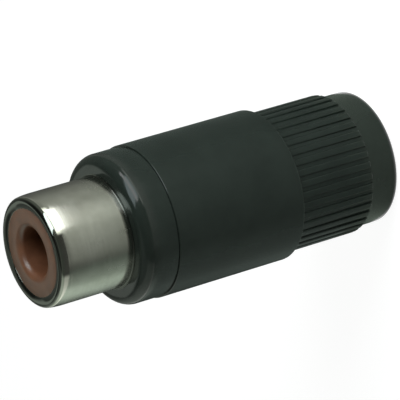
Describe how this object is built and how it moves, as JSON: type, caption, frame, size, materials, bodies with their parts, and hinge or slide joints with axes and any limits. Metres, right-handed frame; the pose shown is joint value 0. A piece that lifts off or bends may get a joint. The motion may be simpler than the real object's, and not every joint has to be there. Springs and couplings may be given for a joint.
{
  "type": "in-line RCA socket",
  "caption": "In-line audio and video socket for a cable end: nickel-plated outer contact, brown insulator, black screw-together housing with a ribbed grip.",
  "frame": {"origin": "centre of the rear (cable end) face, on which the part stands", "axes": "+Z along the axis from the cable end to the mouth; +Y towards the side on which the earth tag's arm lies"},
  "size_m": [0.0114, 0.0114, 0.0286],
  "materials": {
    "black_plastic": "semi-gloss moulded, very dark greenish black",
    "nickel_plate": "satin nickel plate on turned brass",
    "brown_plastic": "satin red-brown moulding",
    "contact_brass": "bright turned spring brass",
    "laminate": "matte resin-bonded laminate",
    "tinned_sheet": "tinned sheet metal"
  },
  "bodies": {
    "cover": {"cover": "black_plastic"},
    "front_insert": {"collar": "black_plastic", "contact_sleeve": "nickel_plate", "front_insulator": "brown_plastic", "centre_contact": "contact_brass", "rear_insulator": "laminate", "earth_tag": "tinned_sheet"}
  },
  "joints": [
    {"name": "unscrew", "type": "slide", "parent": "cover", "child": "front_insert", "axis": [0, 0, 1], "range_m": [0, 0.015]}
  ]
}
